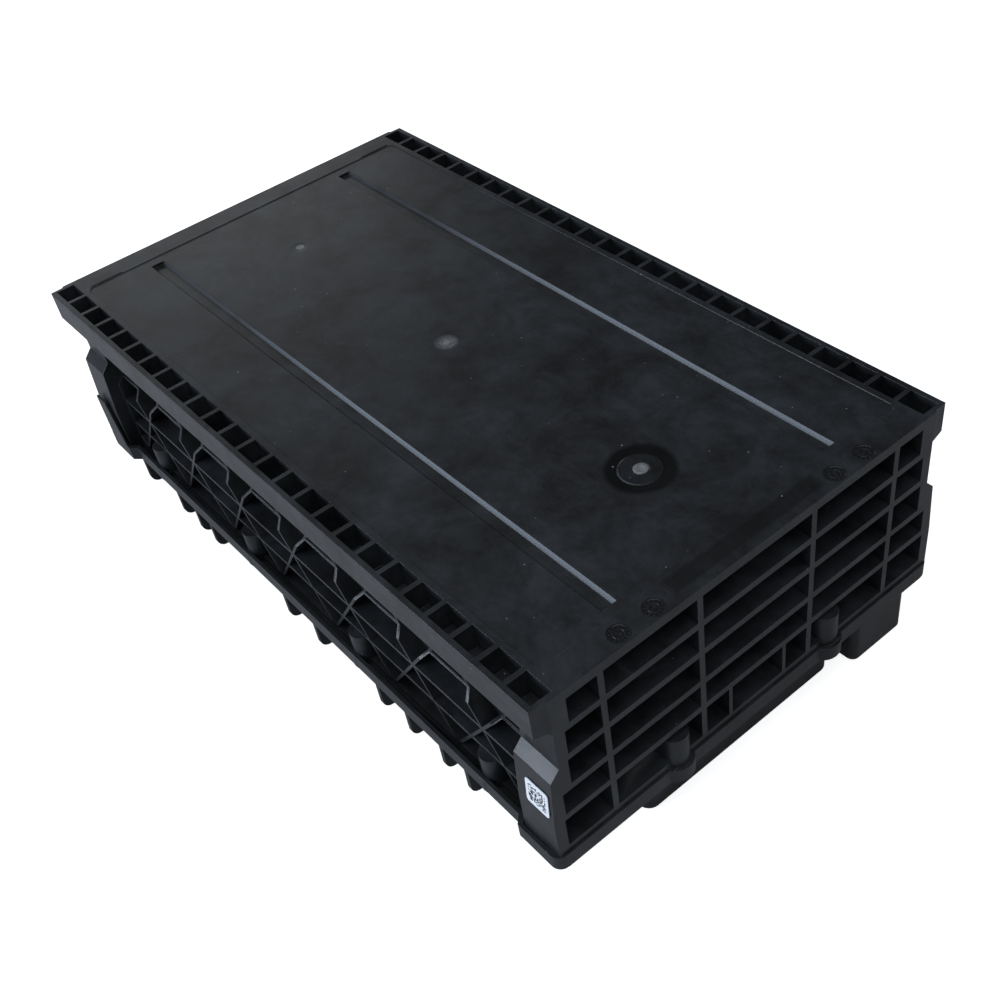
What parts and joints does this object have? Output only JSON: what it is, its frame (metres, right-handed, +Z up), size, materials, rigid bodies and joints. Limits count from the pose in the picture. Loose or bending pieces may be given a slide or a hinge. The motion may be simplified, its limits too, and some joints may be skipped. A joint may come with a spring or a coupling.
{
  "type": "ribbed storage case",
  "caption": "Flat-topped moulded plastic case with crossed ribs on its sides, pocketed rails and ends, and a screwed-on base cover with cross ribs below.",
  "frame": {"origin": "middle of the footprint, on the surface the case stands on", "axes": "+X along the length towards the labelled end, +Y across the width away from the labelled side, +Z up"},
  "size_m": [0.4122, 0.2336, 0.13],
  "materials": {
    "shell_plastic": "satin black moulded nylon with fine grain",
    "cover_plastic": "satin black moulded nylon",
    "seal_rubber": "matt black rubber",
    "screw_steel": "zinc-plated steel",
    "insert_brass": "turned brass",
    "label": "white label stock"
  },
  "bodies": {
    "base": {"base_cover": "cover_plastic", "perimeter_seal": "seal_rubber", "cover_screw_01": "screw_steel", "cover_screw_02": "screw_steel", "cover_screw_03": "screw_steel", "cover_screw_04": "screw_steel", "cover_screw_05": "screw_steel", "cover_screw_06": "screw_steel", "cover_screw_07": "screw_steel", "cover_screw_08": "screw_steel", "cover_screw_09": "screw_steel", "cover_screw_10": "screw_steel", "cover_screw_11": "screw_steel", "cover_screw_12": "screw_steel"},
    "shell": {"ribbed_shell": "shell_plastic", "post_label": "label", "threaded_insert_01": "insert_brass", "threaded_insert_02": "insert_brass", "threaded_insert_03": "insert_brass", "threaded_insert_04": "insert_brass", "threaded_insert_05": "insert_brass", "threaded_insert_06": "insert_brass", "threaded_insert_07": "insert_brass", "threaded_insert_08": "insert_brass", "threaded_insert_09": "insert_brass", "threaded_insert_10": "insert_brass", "threaded_insert_11": "insert_brass", "threaded_insert_12": "insert_brass"}
  },
  "joints": [
    {"name": "shell_lift", "type": "slide", "parent": "base", "child": "shell", "axis": [0, 0, 1], "range_m": [0, 0.14]}
  ]
}
